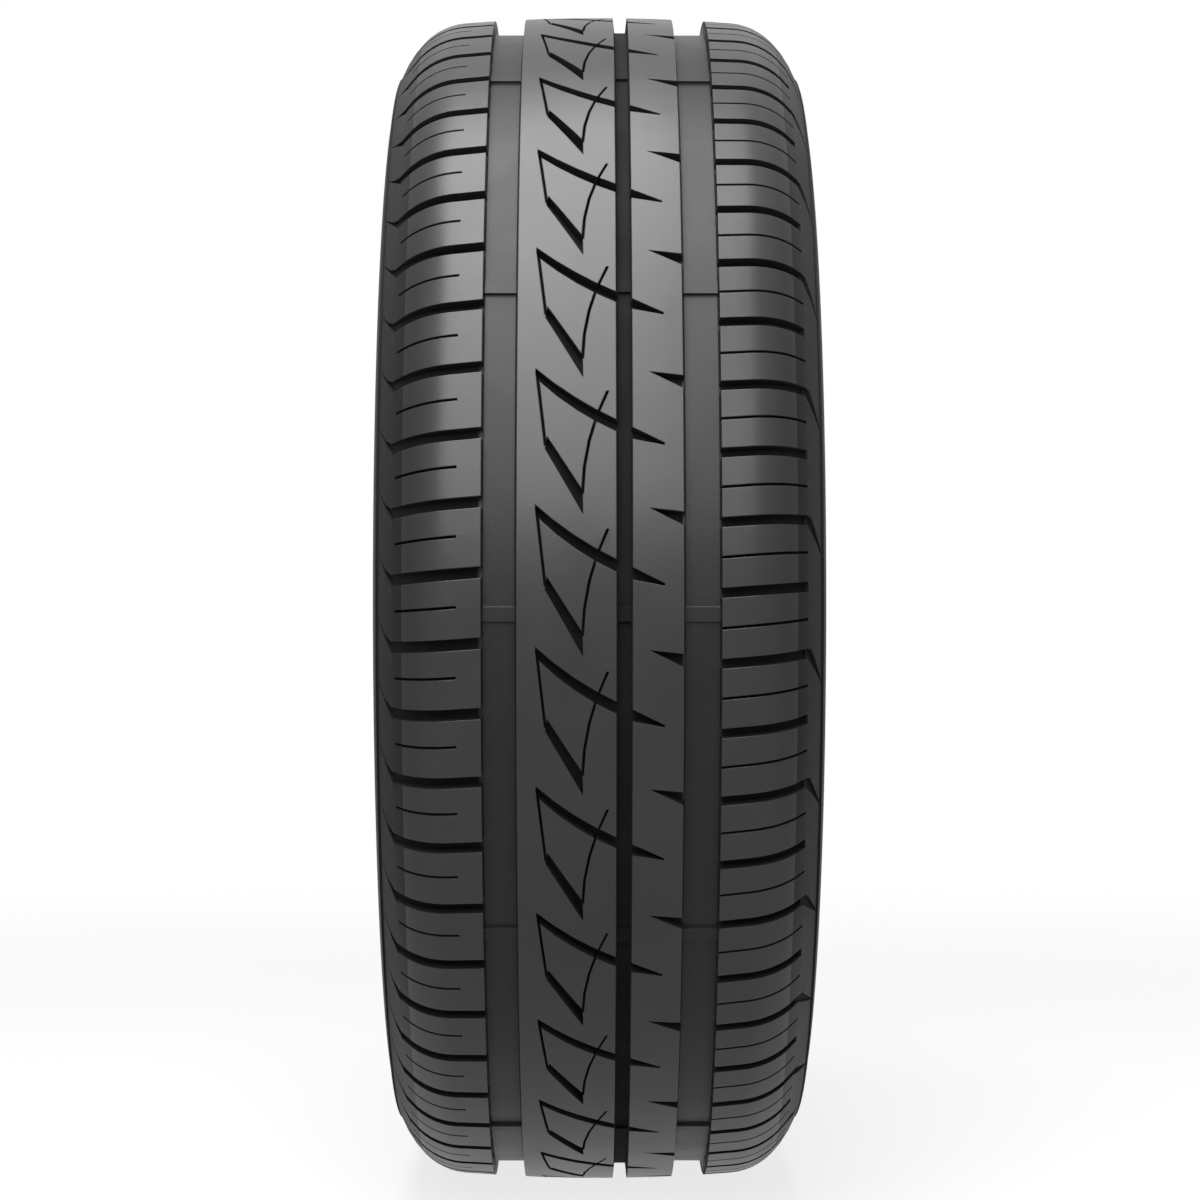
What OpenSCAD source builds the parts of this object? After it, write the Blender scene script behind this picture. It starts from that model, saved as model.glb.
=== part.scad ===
// A car tyre, bare of its wheel, standing on its tread.
// The origin is at the tyre's centre, +Y is the axis that it spins about and +Z is up.
// Inside the modules the tyre's axis is Z, and a place on the tread is given by two lengths:
// t, the way across the outer skin from the middle of the tread (positive towards +Y), and
// v, the way round it (positive downwards on the side that faces +X).

/* [Size] */
// Diameter over the middle of the tread
outside_d = 632; // [628:1:640]
// Width over the two sidewalls at their widest
section_w = 216; // [213:1:220]
// Diameter of the two bead seats, for a 16-inch rim
bead_d = 405.6; // [400:0.2:408]
// Width over the outer faces of the two beads, for a rim 6.5 inches wide
bead_span = 165; // [160:1:170]

/* [Tread form] */
// Radius of the tread's curve from side to side
crown_r = 900; // [700:10:1200]
// Half the width over which that curve runs
crown_half = 71; // [70:0.5:73]
// Radius of the shoulder's curve
shoulder_r = 34; // [32:0.5:36]
// Rubber and belts between the tread's skin and the inner liner
crown_wall = 15.5; // [14:0.5:17]
// Length of the flat that the tyre's own weight gives it where it stands
flat_len = 56; // [40:1:64]

/* [Grooves round the tread] */
// Depth of these grooves
groove_depth = 8; // [6:0.25:9]
// Lean of their walls
groove_lean = 6; // [4:1:12]
// Width of the left groove at the skin
left_groove_w = 16.5; // [12:0.5:18]
// Width of the narrow groove at the skin
mid_groove_w = 7.6; // [5:0.2:9]
// Width of the right groove at the skin
right_groove_w = 17.7; // [12:0.5:19]
// Height of the wear bars above the groove floors
wear_bar_h = 1.6; // [1:0.1:3]
// Length of a wear bar round the tread
wear_bar_len = 7; // [4:0.5:10]
// Number of wear bars in each groove
wear_bars = 12; // [6:1:12]

/* [Pattern] */
// Number of times that the pattern repeats round the tread
pitches = 30; // [28:1:32]
// Width of the left shoulder's cross grooves
left_cross_w = 5.4; // [3:0.2:6]
// Width of the right shoulder's cross grooves
right_cross_w = 4.7; // [3:0.1:6]
// Depth of the cross grooves beside the long grooves
cross_depth = 6.6; // [5:0.2:7.6]
// Width of the fine cuts
sipe_w = 1.3; // [0.8:0.1:1.5]
// Depth of the fine cuts
sipe_depth = 5.5; // [3:0.5:7]
// Depth of the cuts in the two ribs
rib_depth = 7; // [5:0.5:7.5]
// Width of the fine cut down the left side of each V
v_cut_w = 1.3; // [0.8:0.1:1.6]
// Depth of the pointed recesses beside the ends of the cross grooves
recess_depth = 1.8; // [1.2:0.1:2.4]
// Depth of those recesses at their points
recess_tip_depth = 0.9; // [0.4:0.1:1.2]

/* [Sidewall] */
// Radius of the sidewall's curve below its widest place
sidewall_r = 70; // [66:1:74]
// Rubber and ply of the sidewall at its widest place
side_wall = 7.8; // [6:0.2:9]
// Height of the fine raised rings on the sidewalls
ring_h = 0.7; // [0.4:0.1:1]
// Width of those rings
ring_w = 1.6; // [1:0.1:3]

/* [Hidden] */

outside_r = outside_d / 2;
bead_r = bead_d / 2;
bead_half = bead_span / 2;
half_w = section_w / 2;
pitch_angle = 360 / pitches;

// Far enough past a surface to cut it cleanly
clear = 12;

// The outer skin: the tread's curve, then the shoulder's, the upper and the lower sidewall's
crown_end = asin(crown_half / crown_r);
crown_mid = [outside_r - crown_r, 0];
crown_edge = crown_mid + crown_r * heading(crown_end);

// The sidewall is widest at this share of its height, or as far up as its lower curve reaches
widest_share = 0.554;
lower_reach = 50;
flange_h = 19.2;
flange_r = bead_r + flange_h;
widest_r = min(bead_r + widest_share * (outside_r - bead_r), flange_r + sidewall_r * sin(lower_reach));
lower_mid = [widest_r, half_w - sidewall_r];
flange_turn = 90 + asin((widest_r - flange_r) / sidewall_r);

// From the tread's edge to the widest place two arcs turn the skin. The tighter one has the
// shoulder's radius, or what there is room for, and comes first unless the tyre is wide and low.
room_out = half_w - crown_edge[1];
room_in = crown_edge[0] - widest_r;
room_share = 0.93;
bend_r = min(
    shoulder_r,
    room_share * room_out / (1 - sin(crown_end)),
    room_share * room_in / cos(crown_end)
);
left_out = room_out - bend_r * (1 - sin(crown_end));
left_in = room_in - bend_r * cos(crown_end);
tight_first = left_out < left_in * tan(45 - crown_end / 2);
shoulder_end = tight_first
    ? 90 - 2 * atan(left_out / left_in)
    : 2 * atan(left_in / left_out) - crown_end;
edge_r = tight_first ? bend_r : bend_r + left_out / (sin(shoulder_end) - sin(crown_end));
upper_r = tight_first ? bend_r + left_in / cos(shoulder_end) : bend_r;
shoulder_mid = crown_mid + (crown_r - edge_r) * heading(crown_end);
upper_mid = shoulder_mid + (edge_r - upper_r) * heading(shoulder_end);

// How far across the skin each of those curves ends
crown_t = crown_r * radians(crown_end);
shoulder_t = crown_t + edge_r * radians(shoulder_end - crown_end);
widest_t = shoulder_t + upper_r * radians(90 - shoulder_end);
flange_t = widest_t + sidewall_r * radians(flange_turn - 90);

// The bead: the rounding of its heel, the width of its foot and the top of its toe
heel_round = 5;
foot_w = 17;
toe_h = 11;
toe_top = [bead_r + toe_h, bead_half - foot_w + 3.5];

// The inner liner: under the tread it keeps the tread's curve, and one arc turns it into the
// sidewall, which it meets where that is widest. From there to the flange the wall grows thicker.
liner_r = crown_r - crown_wall;
liner_rise = widest_r - crown_mid[0];
liner_in = liner_r - half_w + side_wall;
liner_reach = (liner_rise * liner_rise + liner_in * liner_in) / (2 * liner_in);
liner_turn = liner_r - liner_reach;
liner_end = acos(liner_rise / liner_reach);
liner_mid = crown_mid + liner_reach * heading(liner_end);
flange_extra = 1.5;

// Where the pattern's first V has its top, and the places of the rest along the pitch
first_angle = -7.65;
left_cross_at = -0.6;
left_sipe_at = 2.45;
left_recess_at = 0.15;
right_cross_at = 1.3;
right_sipe_at = 4.3;
right_recess_at = 0.65;
wear_bar_at = 1.4;
// How far a cut across a shoulder moves round the tread for each millimetre outwards
cross_slant = 0.075;
sipe_slant = 0.085;
// How far down the shoulder the cross grooves run, and how much further their recesses do
cross_run = 32;
cross_end = crown_t + cross_run;
recess_run = 15;

// The long grooves: middle and width of each, from left to right
long_grooves = [[-47, left_groove_w], [11.5, mid_groove_w], [47.9, right_groove_w]];

// The rings on each sidewall: the edge of the upper band, and the line that shows a true seating
ring_gap = 1.5;
ring_places = [cross_end + recess_run + ring_gap, flange_t - 7];

function radians(a) = a * PI / 180;
function heading(a) = [cos(a), sin(a)];
function turn_at(t) =
    t < crown_t ? t / crown_r * 180 / PI :
    t < shoulder_t ? crown_end + (t - crown_t) / edge_r * 180 / PI :
    t < widest_t ? shoulder_end + (t - shoulder_t) / upper_r * 180 / PI :
    90 + (t - widest_t) / sidewall_r * 180 / PI;
// Radius and place along the axis of a point under the skin, t across it and depth below it
function skin(t, depth) =
    t < crown_t ? crown_mid + (crown_r - depth) * heading(turn_at(t)) :
    t < shoulder_t ? shoulder_mid + (edge_r - depth) * heading(turn_at(t)) :
    t < widest_t ? upper_mid + (upper_r - depth) * heading(turn_at(t)) :
    lower_mid + (sidewall_r - depth) * heading(turn_at(t));
function steps(from, to, count) = [for (i = [1 : count]) from + (to - from) * i / count];
function arc(mid, r, angles) = [for (a = angles) mid + r * heading(a)];
// Points of an arc from p to q that rises to the left of the straight way between them
function bow(p, q, rise, count) =
    let (d = q - p, half = norm(d) / 2, left = [-d[1], d[0]] / norm(d),
         r = (half * half + rise * rise) / (2 * rise),
         mid = (p + q) / 2 - left * (r - rise),
         from = atan2(p[1] - mid[1], p[0] - mid[0]),
         sweep = 2 * asin(half / r))
    concat([p], arc(mid, abs(r), steps(from, from - sweep, count)));
function mirrored(points) =
    [for (i = [len(points) - 1 : -1 : 0]) [points[i][0], -points[i][1]]];

// Half of the section, out over the tread and down to the heel of the bead
function outer_half() =
    let (ledge = skin(flange_t, 0),
         ledge_low = bead_r + heel_round + 3)
    concat(
        [for (t = concat(
            [12, 30, 50, crown_t],
            steps(crown_t, shoulder_t, 6),
            steps(shoulder_t, widest_t, 6),
            steps(widest_t, flange_t, 5)
        )) skin(t, 0)],
        [for (a = steps(0, 90, 5)) [
            ledge_low + (ledge[0] - ledge_low) * cos(a),
            ledge[1] - (ledge[1] - bead_half) * sin(a)
        ]],
        arc([bead_r + heel_round, bead_half - heel_round], heel_round, concat([90], steps(90, 180, 4)))
    );

// The rest of that half, from the toe of the bead up the inside to the middle of the liner
function inner_half() = concat(
    [[bead_r, bead_half - foot_w + 2], [bead_r + 2, bead_half - foot_w], toe_top],
    [for (share = [1 : -0.2 : 0.1])
        skin(widest_t + share * (flange_t - widest_t), side_wall + share * flange_extra)],
    arc(liner_mid, liner_turn, concat([90], steps(90, liner_end, 9))),
    arc(crown_mid, liner_r, [0.64 * liner_end, 0.3 * liner_end])
);

// A fine raised ring on the sidewall
module skin_ring(t) {
    translate(skin(t, 0)) rotate(turn_at(t)) translate([-ring_h, -ring_w / 2]) square([2 * ring_h, ring_w]);
}

module long_groove(at, w) {
    top = skin(abs(at), 0)[0];
    draw_in = groove_depth * tan(groove_lean);
    polygon([
        [top - groove_depth, at - w / 2 + draw_in],
        [top - groove_depth, at + w / 2 - draw_in],
        [top + groove_depth, at + w / 2 + draw_in],
        [top + groove_depth, at - w / 2 - draw_in]
    ]);
}

module section() {
    half = concat(outer_half(), inner_half());
    difference() {
        union() {
            polygon(concat(half, mirrored(half)));
            for (side = [0, 1], t = ring_places) mirror([0, side]) skin_ring(t);
        }
        for (g = long_grooves) long_groove(g[0], g[1]);
    }
}

// A low bar across a long groove, which comes level with the tread once it is worn out
module wear_bar(at, w) {
    floor_r = skin(abs(at), 0)[0] - groove_depth;
    angle = wear_bar_len / floor_r * 180 / PI;
    rotate([0, 0, -angle / 2])
        rotate_extrude(angle = angle, $fn = 180)
            translate([floor_r - 1, at - w / 2 + 0.3]) square([1 + wear_bar_h, w - 0.6]);
}

// A cut across a shoulder: side is 1 or -1, and each row gives t and the depth there
module cross_cut(side, angle, rows, w, slant) {
    inner = skin(rows[0][0], 0)[1];
    last = len(rows) - 1;
    outline = concat(
        [for (row = rows) skin(row[0], row[1])],
        [for (i = [last : -1 : 0]) skin(rows[i][0], -clear)]
    );
    rotate([0, 0, angle])
        translate([0, 0, side * inner])
            rotate([atan(slant), 0, 0])
                rotate([90, 0, 0])
                    linear_extrude(w, center = true)
                        polygon([for (p = outline) [p[0], side * (p[1] - inner)]]);
}

// The pointed recess that runs on from a cross groove, over the shoulder and down the sidewall.
// Its outline is given from the end of that groove, outwards and round the tread.
module recess(side, angle, outline) {
    base = skin(cross_end, recess_depth);
    floor_turn = turn_at(cross_end + recess_run / 2)
        - atan((recess_depth - recess_tip_depth) / recess_run);
    rotate([0, 0, angle])
        translate([base[0], 0, side * base[1]])
            rotate([0, -side * floor_turn, 0])
                rotate([90, 0, 90])
                    linear_extrude(clear)
                        polygon([for (p = outline) [p[1], side * p[0]]]);
}

// A cut into a rib, with its outline given as t and v from the top of the V, and v_mid its middle
module rib_cut(v_mid, outline) {
    rotate([0, 0, first_angle + v_mid / radians(outside_r)])
        translate([outside_r - rib_depth, 0, 0])
            rotate([90, 0, 90])
                linear_extrude(rib_depth + clear)
                    polygon([for (p = outline) [p[1] - v_mid, p[0]]]);
}

module left_shoulder_cuts() {
    rows = [
        [-long_grooves[0][0] + 3, cross_depth], [crown_t + 1, cross_depth],
        [crown_t + 13, 5], [crown_t + 23, 3.6], [cross_end, recess_depth]
    ];
    sipe_rows = [[crown_t - 4.4, sipe_depth], [crown_t + 13, 4], [cross_end - 2.5, 2]];
    for (half = [0, 0.5]) {
        at = first_angle + half * pitch_angle;
        cross_cut(-1, at + left_cross_at, rows, left_cross_w, cross_slant);
        cross_cut(-1, at + left_sipe_at, sipe_rows, sipe_w, cross_slant);
        recess(-1, at + left_recess_at, [[-1, -2.4], [5, -5.4], [recess_run, -15], [-1, 3.6]]);
    }
}

// On this side only every second cross groove has a recess, and the rest end bluntly
module right_shoulder_cuts() {
    start = long_grooves[2][0] + 4;
    rows = [
        [start, cross_depth], [crown_t + 1, cross_depth],
        [crown_t + 13, 5.4], [crown_t + 23, 4.4], [cross_end, 3]
    ];
    sipe_rows = [[start, sipe_depth], [crown_t + 7, sipe_depth], [crown_t + 21, 3.5], [cross_end, 2]];
    for (half = [0, 0.5]) {
        at = first_angle + half * pitch_angle;
        cross_cut(1, at + right_cross_at, rows, right_cross_w, cross_slant);
        cross_cut(1, at + right_sipe_at, sipe_rows, sipe_w, sipe_slant);
    }
    recess(1, first_angle + right_recess_at, [[-1, -2.1], [2.2, -1.8], [recess_run + 2, 17.5], [-1, 2.5]]);
}

// The V of the left rib, which runs over the narrow groove, and the dart of the right rib
module rib_cuts() {
    curve_low = [-8.7, 60];
    curve_high = [3.1, 10.2];
    sipe = [sipe_w, 0];
    rib_cut(16.5, concat(
        bow([-30.2, -1.4], [8, 24.4], 1.7, 4),
        [[15.3, 28], [30.2, 35.4], [30, 36.5], [15.3, 33.7]],
        bow([8, 30.2], [-28, 5.5], -1.9, 4)
    ));
    rib_cut(19, [[-30.1, 0], [-30.1 + v_cut_w, 0], [-25.9 + v_cut_w, 37], [-25.9, 37]]);
    rib_cut(51, [[-24.5, 32.5], [-8, 58.3], [-7.8, 69.4], [-25.5, 38.3]]);
    rib_cut(36, concat(
        bow(curve_low, curve_high, -2.8, 4),
        bow(curve_high + sipe, curve_low + sipe, 2.8, 4)
    ));
    rib_cut(4.5, [[23.1, 0.3], [42, 2.3], [42, 9.8]]);
}

module pattern_cuts() {
    for (i = [0 : pitches - 1])
        rotate([0, 0, i * pitch_angle]) {
            left_shoulder_cuts();
            right_shoulder_cuts();
            rib_cuts();
        }
}

// What the floor takes off the tread where the tyre stands
module flat_cut() {
    flat_r = sqrt(pow(outside_r, 2) - pow(flat_len / 2, 2));
    translate([-flat_len, flat_r, -half_w]) cube([2 * flat_len, clear, section_w]);
}

module tyre() {
    color([0.09, 0.09, 0.095])
        rotate([-90, 0, 0])
            difference() {
                union() {
                    rotate_extrude($fn = 180) section();
                    for (i = [0 : wear_bars - 1], g = long_grooves)
                        rotate([0, 0, wear_bar_at + i * 360 / wear_bars]) wear_bar(g[0], g[1]);
                }
                pattern_cuts();
                flat_cut();
            }
}

tyre();
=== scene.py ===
"""Dresses the car tyre for the picture: its rubber, the studio around it and the camera."""
import math

import bmesh
import bpy
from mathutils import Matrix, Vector


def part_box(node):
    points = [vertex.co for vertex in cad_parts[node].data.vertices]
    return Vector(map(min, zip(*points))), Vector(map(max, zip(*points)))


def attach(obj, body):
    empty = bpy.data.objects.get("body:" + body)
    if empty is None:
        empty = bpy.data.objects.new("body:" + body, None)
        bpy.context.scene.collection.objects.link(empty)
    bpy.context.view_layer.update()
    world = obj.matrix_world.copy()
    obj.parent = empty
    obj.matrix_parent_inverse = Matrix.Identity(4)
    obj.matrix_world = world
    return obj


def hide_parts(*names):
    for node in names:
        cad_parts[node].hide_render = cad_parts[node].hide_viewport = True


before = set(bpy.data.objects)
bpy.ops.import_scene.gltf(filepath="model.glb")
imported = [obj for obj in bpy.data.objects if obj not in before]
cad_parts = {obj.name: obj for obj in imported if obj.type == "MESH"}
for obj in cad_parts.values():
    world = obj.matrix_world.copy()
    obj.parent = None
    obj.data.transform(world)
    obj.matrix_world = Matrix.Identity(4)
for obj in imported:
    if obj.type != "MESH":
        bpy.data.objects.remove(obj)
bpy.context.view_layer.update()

MM = 0.001

# The tyre's main sizes, as the part's source has them
OUTSIDE_R = 316 * MM
BEAD_R = 202.8 * MM

# The arcs of the outer skin, from the middle of the tread to the widest place: how far round
# each ends, its centre as radius and place across, and its own radius
SKIN_ARCS = (
    (math.radians(4.52), -584 * MM, 0, 900 * MM),
    (math.radians(45.2), 279.3 * MM, 68.25 * MM, 34 * MM),
    (math.radians(180), 265.5 * MM, 54.4 * MM, 53.6 * MM),
)

# The two wide grooves: how far from the middle they run, half their width, and how far the change
# to the rubber beside them, which is painted black as shade, is spread
WIDE_GROOVE = 47.5 * MM
WIDE_GROOVE_HALF = 9 * MM
GROOVE_BLUR = 0.4 * MM

# From one to the other of these places across, the tread's skin turns away and grows dull, and its
# colour is painted black as painted shade
TURN_START = 78 * MM
TURN_END = 91 * MM

# Where the shoulders' round edges end, across and as a radius, and where the sidewalls begin
SHOULDER_END = 92.4 * MM
SHOULDER_END_R = 303.3 * MM
SIDE_R = 282.6 * MM

# Below the skin by more than this lies a groove, and by more than this the inner liner, which
# starts this far above the bead seats
IN_GROOVE = 1.4 * MM
IN_LINER = 8.5 * MM
LINER_START = 4 * MM

# Corners closer than this are one, and edges between faces that meet at less stay smooth
WELD = 0.002 * MM
SMOOTH_ANGLE = math.radians(24)

# The rubbers, in the order in which the moulding carries them
TREAD, GROOVE, SHOULDER_EDGE, SIDEWALL, LINER = range(5)

# The darker and the paler blotches of each rubber. The grooves' and the shoulder edges' tones are
# set darker than the tread's as painted shade, and the black is painted shade on turned skin and
# in the cuts
TREAD_SHADES = (0.0140, 0.0140, 0.0143), (0.0175, 0.0175, 0.0178)
GROOVE_PAINTED_SHADE_TONES = (0.0075, 0.0075, 0.0077), (0.0100, 0.0100, 0.0102)
EDGE_PAINTED_SHADE_TONES = (0.0050, 0.0050, 0.0051), (0.0070, 0.0070, 0.0071)
SIDE_SHADES = (0.0200, 0.0200, 0.0203), (0.0280, 0.0280, 0.0284)
LINER_SHADES = (0.0170, 0.0168, 0.0168), (0.0250, 0.0245, 0.0245)
PAINTED_SHADE_BLACK = (0.0030, 0.0030, 0.0031)

# How far moulded edges are rounded for the light, and from ring to ring of the mould's turning
# and from line to line of the curing bladder
EDGE_ROUNDING = 0.6 * MM
RING_STEP = 1.4 * MM
VENT_LINE_STEP = 9 * MM

# The studio: how far the floor reaches and up to where it is whole, its grey, how much it glows
# by itself and what the surround lights
FLOOR_R = 2.0
FLOOR_WHOLE_R = 0.7
FLOOR_GREY = 0.2
FLOOR_GLOW = 0.79
SURROUND_LIGHT = 0.25

# The soft lights: where they aim, how far they stand off, how wide they are along the axle, and
# how far they stand to the left
LAMP_AIM = Vector((0.25, 0, 0.15))
LAMP_REACH = 1.4
LAMP_WIDTH = 0.8
LAMP_SIDE = 0.12

# The camera: how far off it stands and how far to the left, its lens in millimetres, and how
# many of the photograph's pixels its frame is shifted by
CAMERA_REACH = 6.1 * OUTSIDE_R
CAMERA_SIDE = 5.5 * MM
CAMERA_LENS = 104.7
PHOTO_SIDE = 1200
FRAME_SHIFT = (12, -2)


def node(tree, kind, x=0, y=0, **settings):
    """Adds a node to a tree at a place and sets the properties that are given."""
    made = tree.nodes.new(kind)
    made.location = (x, y)
    for name, value in settings.items():
        setattr(made, name, value)
    return made


def number_node(tree, operation, first, second=None, third=None):
    """Adds a Math node; each input is a number or another node's output. Returns its output."""
    made = node(tree, "ShaderNodeMath", operation=operation)
    for socket, value in zip(made.inputs, (first, second, third)):
        if value is None:
            continue
        if isinstance(value, (int, float)):
            socket.default_value = value
        else:
            tree.links.new(value, socket)
    return made.outputs[0]


def ramp_between(tree, value, low, high):
    """A smooth step of value: 0 up to low, 1 from high on. Returns its output."""
    made = node(tree, "ShaderNodeMapRange", interpolation_type="SMOOTHSTEP")
    made.inputs["From Min"].default_value = low
    made.inputs["From Max"].default_value = high
    tree.links.new(value, made.inputs["Value"])
    return made.outputs["Result"]


def new_group(name, inputs, outputs):
    """An empty shader node group of number sockets: names of the inputs with their values, and
    names of the outputs."""
    group = bpy.data.node_groups.new(name, "ShaderNodeTree")
    for label, value in inputs.items():
        socket = group.interface.new_socket(label, in_out="INPUT", socket_type="NodeSocketFloat")
        socket.default_value = value
    for label in outputs:
        group.interface.new_socket(label, in_out="OUTPUT", socket_type="NodeSocketFloat")
    return group, node(group, "NodeGroupInput", -900), node(group, "NodeGroupOutput", 900)


def group_node(tree, group, **values):
    """Places a node group in a material and sets its inputs."""
    made = node(tree, "ShaderNodeGroup")
    made.node_tree = group
    for name, value in values.items():
        made.inputs[name.replace("_", " ")].default_value = value
    return made


def tyre_places():
    """Group: where a point lies on the tyre, as its radius, its place across and the way round."""
    group, _, out = new_group("tyre places", {}, ("Radius", "Across", "Round"))
    coords = node(group, "ShaderNodeTexCoord", -700)
    parts = node(group, "ShaderNodeSeparateXYZ", -500)
    group.links.new(coords.outputs["Object"], parts.inputs[0])
    x, y, z = parts.outputs
    x_squared = number_node(group, "MULTIPLY", x, x)
    radius = number_node(group, "SQRT", number_node(group, "MULTIPLY_ADD", z, z, x_squared))
    turn = number_node(group, "ARCTAN2", z, x)
    along = number_node(group, "MULTIPLY", turn, OUTSIDE_R)
    group.links.new(radius, out.inputs["Radius"])
    group.links.new(y, out.inputs["Across"])
    group.links.new(along, out.inputs["Round"])
    return group


def moulded_grain():
    """Group: the fine skin that rubber takes from its mould, as a height and a blotchy mask. Its
    two inputs are sizes in millimetres."""
    sizes = {"Grain size": 1.0, "Blotch size": 1.0}
    group, given, out = new_group("moulded grain", sizes, ("Height", "Blotches"))
    coords = node(group, "ShaderNodeTexCoord", -700)
    fine = node(group, "ShaderNodeTexNoise", -200, 200)
    fine.inputs["Detail"].default_value = 3
    fine.inputs["Roughness"].default_value = 0.6
    wide = node(group, "ShaderNodeTexNoise", -200, -200)
    wide.inputs["Detail"].default_value = 4
    wide.inputs["Roughness"].default_value = 0.55
    for texture, size in ((fine, "Grain size"), (wide, "Blotch size")):
        scale = number_node(group, "DIVIDE", 1 / MM, given.outputs[size])
        group.links.new(coords.outputs["Object"], texture.inputs["Vector"])
        group.links.new(scale, texture.inputs["Scale"])
    group.links.new(fine.outputs["Fac"], out.inputs["Height"])
    blotches = ramp_between(group, wide.outputs["Fac"], 0.35, 0.65)
    group.links.new(blotches, out.inputs["Blotches"])
    return group


PLACES = tyre_places()
GRAIN = moulded_grain()


def shade_mix(tree, mask, low, high):
    """A colour that goes from low to high with a mask. Each is a colour or a node's output."""
    made = node(tree, "ShaderNodeMix", data_type="RGBA")
    for socket, value in ((made.inputs[6], low), (made.inputs[7], high)):
        if isinstance(value, tuple):
            socket.default_value = (*value, 1)
        else:
            tree.links.new(value, socket)
    tree.links.new(mask, made.inputs["Factor"])
    return made.outputs[2]


def new_material(name, specular):
    """A material with a Principled shader. Returns the material, its tree and its shader."""
    material = bpy.data.materials.new(name)
    material.use_nodes = True
    tree = material.node_tree
    shader = tree.nodes["Principled BSDF"]
    shader.inputs["Specular IOR Level"].default_value = specular
    return material, tree, shader


def grain_bump(tree, height, strength, distance):
    """A bump from a height, laid over edges that are rounded a little, as moulded rubber's are."""
    rounding = node(tree, "ShaderNodeBevel", samples=6)
    rounding.inputs["Radius"].default_value = EDGE_ROUNDING
    bump = node(tree, "ShaderNodeBump")
    bump.inputs["Strength"].default_value = strength
    bump.inputs["Distance"].default_value = distance
    tree.links.new(height, bump.inputs["Height"])
    tree.links.new(rounding.outputs["Normal"], bump.inputs["Normal"])
    return bump.outputs["Normal"]


def tread_rubber():
    """The rubber of ribs and shoulders: satin, and duller where it turns to the sidewall, where
    its colour is also painted black as painted shade.
    """
    material, tree, shader = new_material("tread rubber", 0.39)
    places = group_node(tree, PLACES)
    grain = group_node(tree, GRAIN, Grain_size=0.9, Blotch_size=45.0)
    blotches = grain.outputs["Blotches"]
    off_middle = number_node(tree, "ABSOLUTE", places.outputs["Across"])
    turned_dull_and_shaded = ramp_between(tree, off_middle, TURN_START, TURN_END)
    blotched_tone = shade_mix(tree, blotches, *TREAD_SHADES)
    # Painted shade: the colour goes to black where the skin turns away from the lamps
    tree.links.new(shade_mix(tree, turned_dull_and_shaded, blotched_tone, PAINTED_SHADE_BLACK), shader.inputs["Base Color"])
    rough = number_node(tree, "MULTIPLY_ADD", turned_dull_and_shaded, 0.08, 0.34)
    rough = number_node(tree, "MULTIPLY_ADD", blotches, 0.03, rough)
    tree.links.new(rough, shader.inputs["Roughness"])
    bump = grain_bump(tree, grain.outputs["Height"], 0.35, 0.10 * MM)
    tree.links.new(bump, shader.inputs["Normal"])
    return material


def groove_rubber():
    """The duller rubber in the grooves and cuts, dullest in all but the two wide grooves. Its
    colour is painted darker than the tread's as painted shade, and painted black outside the wide
    grooves.
    """
    material, tree, shader = new_material("groove rubber", 0.25)
    places = group_node(tree, PLACES)
    grain = group_node(tree, GRAIN, Grain_size=1.4, Blotch_size=30.0)
    blotches = grain.outputs["Blotches"]
    off_middle = number_node(tree, "ABSOLUTE", places.outputs["Across"])
    off_centre = number_node(tree, "SUBTRACT", off_middle, WIDE_GROOVE)
    off_groove = number_node(tree, "ABSOLUTE", off_centre)
    inside, outside = WIDE_GROOVE_HALF - GROOVE_BLUR, WIDE_GROOVE_HALF + GROOVE_BLUR
    wide_floor = number_node(tree, "SUBTRACT", 1, ramp_between(tree, off_groove, inside, outside))
    # Painted shade: darker tones in the wide grooves, black in the other grooves and cuts
    blotched_tone = shade_mix(tree, blotches, *GROOVE_PAINTED_SHADE_TONES)
    tree.links.new(shade_mix(tree, wide_floor, PAINTED_SHADE_BLACK, blotched_tone), shader.inputs["Base Color"])
    rough = number_node(tree, "MULTIPLY_ADD", wide_floor, -0.45, 0.85)
    rough = number_node(tree, "MULTIPLY_ADD", blotches, 0.05, rough)
    tree.links.new(rough, shader.inputs["Roughness"])
    bump = grain_bump(tree, grain.outputs["Height"], 0.5, 0.14 * MM)
    tree.links.new(bump, shader.inputs["Normal"])
    return material


def side_rubber(name, specular, shades):
    """The rubber beside the tread, with the mould's fine turned rings, duller further down."""
    material, tree, shader = new_material(name, specular)
    places = group_node(tree, PLACES)
    grain = group_node(tree, GRAIN, Grain_size=1.1, Blotch_size=60.0)
    blotches = grain.outputs["Blotches"]
    radius = places.outputs["Radius"]
    tree.links.new(shade_mix(tree, blotches, *shades), shader.inputs["Base Color"])
    near_tread = ramp_between(tree, radius, SIDE_R, SHOULDER_END_R)
    rough = number_node(tree, "MULTIPLY_ADD", near_tread, -0.18, 0.6)
    rough = number_node(tree, "MULTIPLY_ADD", blotches, 0.05, rough)
    tree.links.new(rough, shader.inputs["Roughness"])
    turning = number_node(tree, "MULTIPLY", radius, 2 * math.pi / RING_STEP)
    rings = number_node(tree, "SINE", turning)
    height = number_node(tree, "MULTIPLY_ADD", rings, 0.12, grain.outputs["Height"])
    bump = grain_bump(tree, height, 0.35, 0.10 * MM)
    tree.links.new(bump, shader.inputs["Normal"])
    return material


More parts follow.
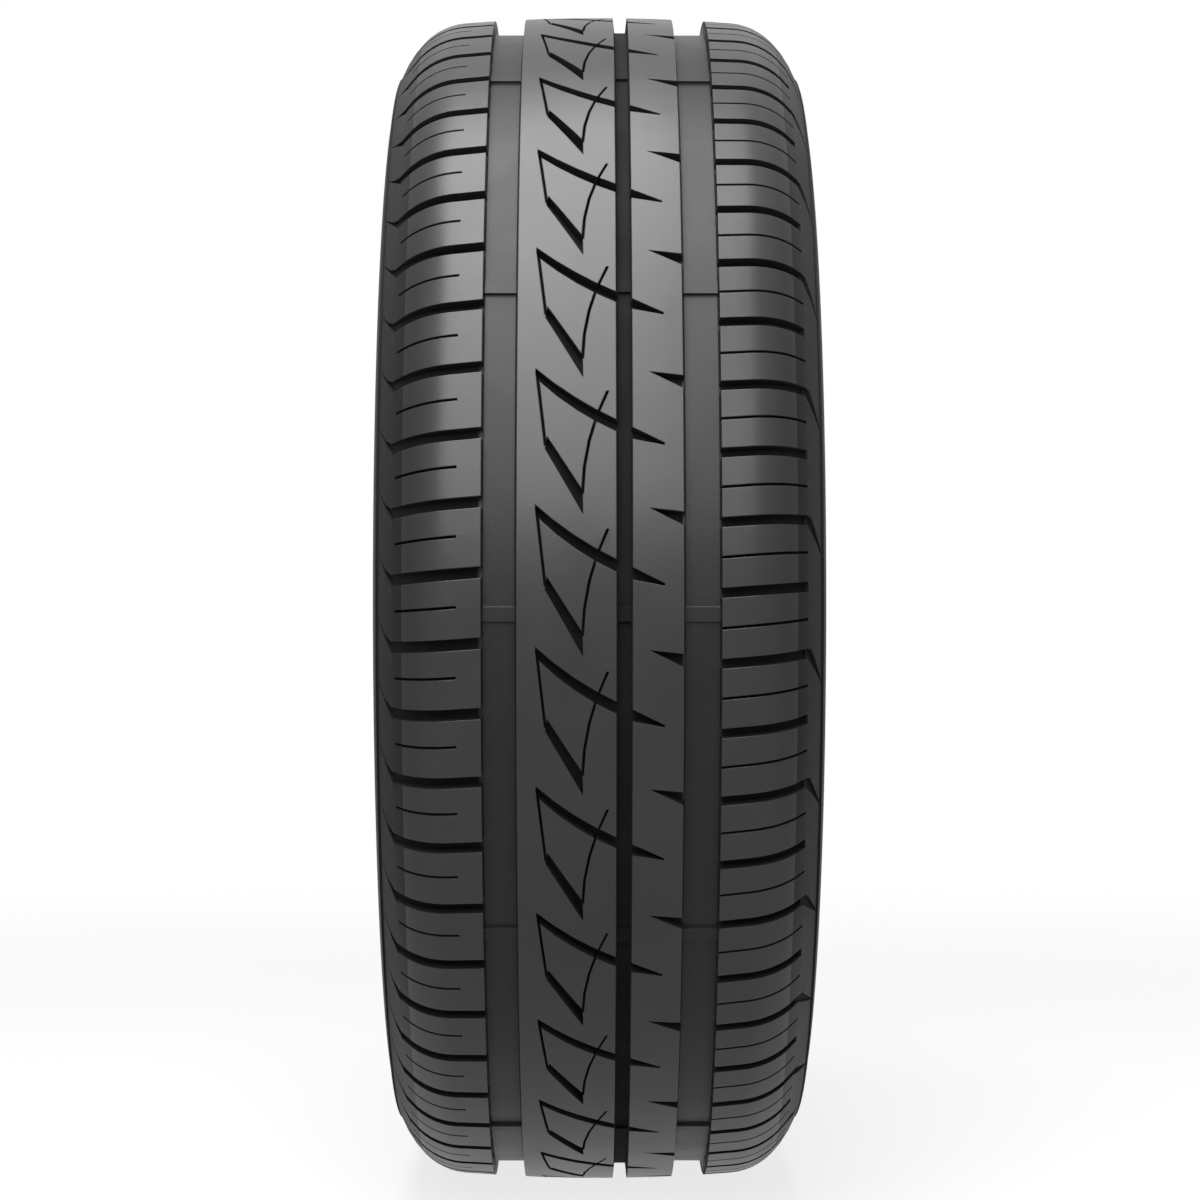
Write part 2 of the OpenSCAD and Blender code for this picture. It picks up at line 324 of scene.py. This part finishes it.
def liner_rubber():
    """The smoother inner liner, with the slanted vent lines that the curing bladder leaves."""
    material, tree, shader = new_material("inner liner rubber", 0.4)
    places = group_node(tree, PLACES)
    grain = group_node(tree, GRAIN, Grain_size=1.6, Blotch_size=60.0)
    blotches = grain.outputs["Blotches"]
    across, along = places.outputs["Across"], places.outputs["Round"]
    tree.links.new(shade_mix(tree, blotches, *LINER_SHADES), shader.inputs["Base Color"])
    rough = number_node(tree, "MULTIPLY_ADD", blotches, 0.12, 0.42)
    tree.links.new(rough, shader.inputs["Roughness"])
    slanted = number_node(tree, "MULTIPLY_ADD", across, 0.7, along)
    waves = number_node(tree, "MULTIPLY", slanted, 2 * math.pi / VENT_LINE_STEP)
    lines = ramp_between(tree, number_node(tree, "SINE", waves), 0.9, 1.0)
    height = number_node(tree, "MULTIPLY_ADD", grain.outputs["Height"], 0.3, lines)
    bump = node(tree, "ShaderNodeBump")
    bump.inputs["Strength"].default_value = 0.5
    bump.inputs["Distance"].default_value = 0.25 * MM
    tree.links.new(height, bump.inputs["Height"])
    tree.links.new(bump.outputs["Normal"], shader.inputs["Normal"])
    return material


def wheel_place(point):
    """A point's distance from the axle and from the tyre's middle."""
    return math.hypot(point.x, point.z), abs(point.y)


def depth_in_rubber(point):
    """How far below the outer skin of the tread and shoulders a point lies."""
    radius, across = wheel_place(point)
    for end, centre_r, centre_y, arc_r in SKIN_ARCS:
        turn = math.atan2(across - centre_y, radius - centre_r)
        if turn <= end:
            return arc_r - math.hypot(radius - centre_r, across - centre_y)


def rubber_of(face):
    """Which of the rubbers a face has."""
    centre = face.calc_center_median()
    radius, across = wheel_place(centre)
    if radius < SIDE_R:
        faces_middle = face.normal.y * centre.y < 0
        return LINER if faces_middle and radius > BEAD_R + LINER_START else SIDEWALL
    if depth_in_rubber(centre) > IN_LINER:
        return LINER
    if max(depth_in_rubber(corner.co) for corner in face.verts) > IN_GROOVE:
        return GROOVE
    return SHOULDER_EDGE if across > SHOULDER_END else TREAD


def moulded_tyre(source):
    """The tyre's moulding: the solid's surface, welded and shaded as the round form that it is."""
    mesh = bpy.data.meshes.new("moulded_tyre")
    made = bmesh.new()
    made.from_mesh(source.data)
    bmesh.ops.remove_doubles(made, verts=made.verts, dist=WELD)
    made.normal_update()
    for face in made.faces:
        face.smooth = True
        face.material_index = rubber_of(face)
    for edge in made.edges:
        between_two = len(edge.link_faces) == 2
        edge.smooth = between_two and edge.calc_face_angle(math.pi) < SMOOTH_ANGLE
    made.to_mesh(mesh)
    made.free()
    piece = bpy.data.objects.new("moulded_tyre", mesh)
    bpy.context.scene.collection.objects.link(piece)
    mesh.materials.append(tread_rubber())
    mesh.materials.append(groove_rubber())
    # Painted shade: the shoulder edges' tones are darker than the tread's
    mesh.materials.append(side_rubber("shoulder edge rubber", 0.13, EDGE_PAINTED_SHADE_TONES))
    mesh.materials.append(side_rubber("sidewall rubber", 0.18, SIDE_SHADES))
    mesh.materials.append(liner_rubber())
    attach(piece, "root")
    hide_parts("tyre")


def seen_rays(tree):
    """1 for the rays that show the surround: straight to the camera, mirrored or let through."""
    path = node(tree, "ShaderNodeLightPath", -900, -300)
    camera_ray, glossy_ray = path.outputs["Is Camera Ray"], path.outputs["Is Glossy Ray"]
    seen = number_node(tree, "MAXIMUM", camera_ray, glossy_ray)
    return number_node(tree, "MAXIMUM", seen, path.outputs["Is Transmission Ray"])


def studio(floor_z):
    """A pale floor that fades into a white surround, which lights the tyre less than it looks."""
    place = (0, 0, floor_z)
    bpy.ops.mesh.primitive_circle_add(
        vertices=96, radius=FLOOR_R, fill_type="NGON", location=place
    )
    floor = bpy.context.active_object
    floor.name = "studio_floor"
    material, tree, shader = new_material("studio floor", 0)
    shader.inputs["Base Color"].default_value = (FLOOR_GREY, FLOOR_GREY, FLOOR_GREY, 1)
    shader.inputs["Roughness"].default_value = 1
    shader.inputs["Emission Color"].default_value = (1, 1, 1, 1)
    glow = number_node(tree, "MULTIPLY", seen_rays(tree), FLOOR_GLOW)
    tree.links.new(glow, shader.inputs["Emission Strength"])
    coords = node(tree, "ShaderNodeTexCoord", -900, -600)
    reach = node(tree, "ShaderNodeVectorMath", -700, -600, operation="LENGTH")
    tree.links.new(coords.outputs["Object"], reach.inputs[0])
    fade = ramp_between(tree, reach.outputs["Value"], FLOOR_WHOLE_R, FLOOR_R)
    tree.links.new(number_node(tree, "SUBTRACT", 1, fade), shader.inputs["Alpha"])
    floor.data.materials.append(material)

    world = bpy.data.worlds.new("studio surround")
    bpy.context.scene.world = world
    world.use_nodes = True
    tree = world.node_tree
    background = tree.nodes["Background"]
    unlit = 1 - SURROUND_LIGHT
    strength = number_node(tree, "MULTIPLY_ADD", seen_rays(tree), unlit, SURROUND_LIGHT)
    tree.links.new(strength, background.inputs["Strength"])
    background.inputs["Color"].default_value = (1, 1, 1, 1)


def soft_light(name, elevation, span, radiance):
    """A soft light on an arc over the tyre's front, at an elevation and over a span of the arc."""
    turn = math.radians(elevation)
    out, up = LAMP_REACH * math.cos(turn), LAMP_REACH * math.sin(turn)
    place = LAMP_AIM + Vector((out, -LAMP_SIDE, up))
    data = bpy.data.lights.new(name, "AREA")
    data.shape = "RECTANGLE"
    data.size = LAMP_REACH * math.radians(span)
    data.size_y = LAMP_WIDTH
    data.energy = radiance * math.pi * data.size * data.size_y
    light = bpy.data.objects.new(name, data)
    light.location = place
    light.rotation_euler = (LAMP_AIM - place).to_track_quat("-Z", "Y").to_euler()
    bpy.context.scene.collection.objects.link(light)


def camera():
    """The photograph's view: level with the tyre's centre, square on to the tread."""
    data = bpy.data.cameras.new("camera")
    data.sensor_width = 36
    data.lens = CAMERA_LENS
    data.shift_x, data.shift_y = (shift / PHOTO_SIDE for shift in FRAME_SHIFT)
    view = bpy.data.objects.new("camera", data)
    view.location = (CAMERA_REACH, -CAMERA_SIDE, 0)
    view.rotation_euler = (math.pi / 2, 0, math.pi / 2)
    bpy.context.scene.collection.objects.link(view)
    bpy.context.scene.camera = view


camera()
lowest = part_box("tyre")[0]
moulded_tyre(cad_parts["tyre"])
studio(lowest.z)
soft_light("overhead light", 88, 40, 8.7)
soft_light("upper light", 56, 28, 9.6)
soft_light("front light", 25, 38, 6.3)
bpy.context.scene.view_settings.view_transform = "Standard"
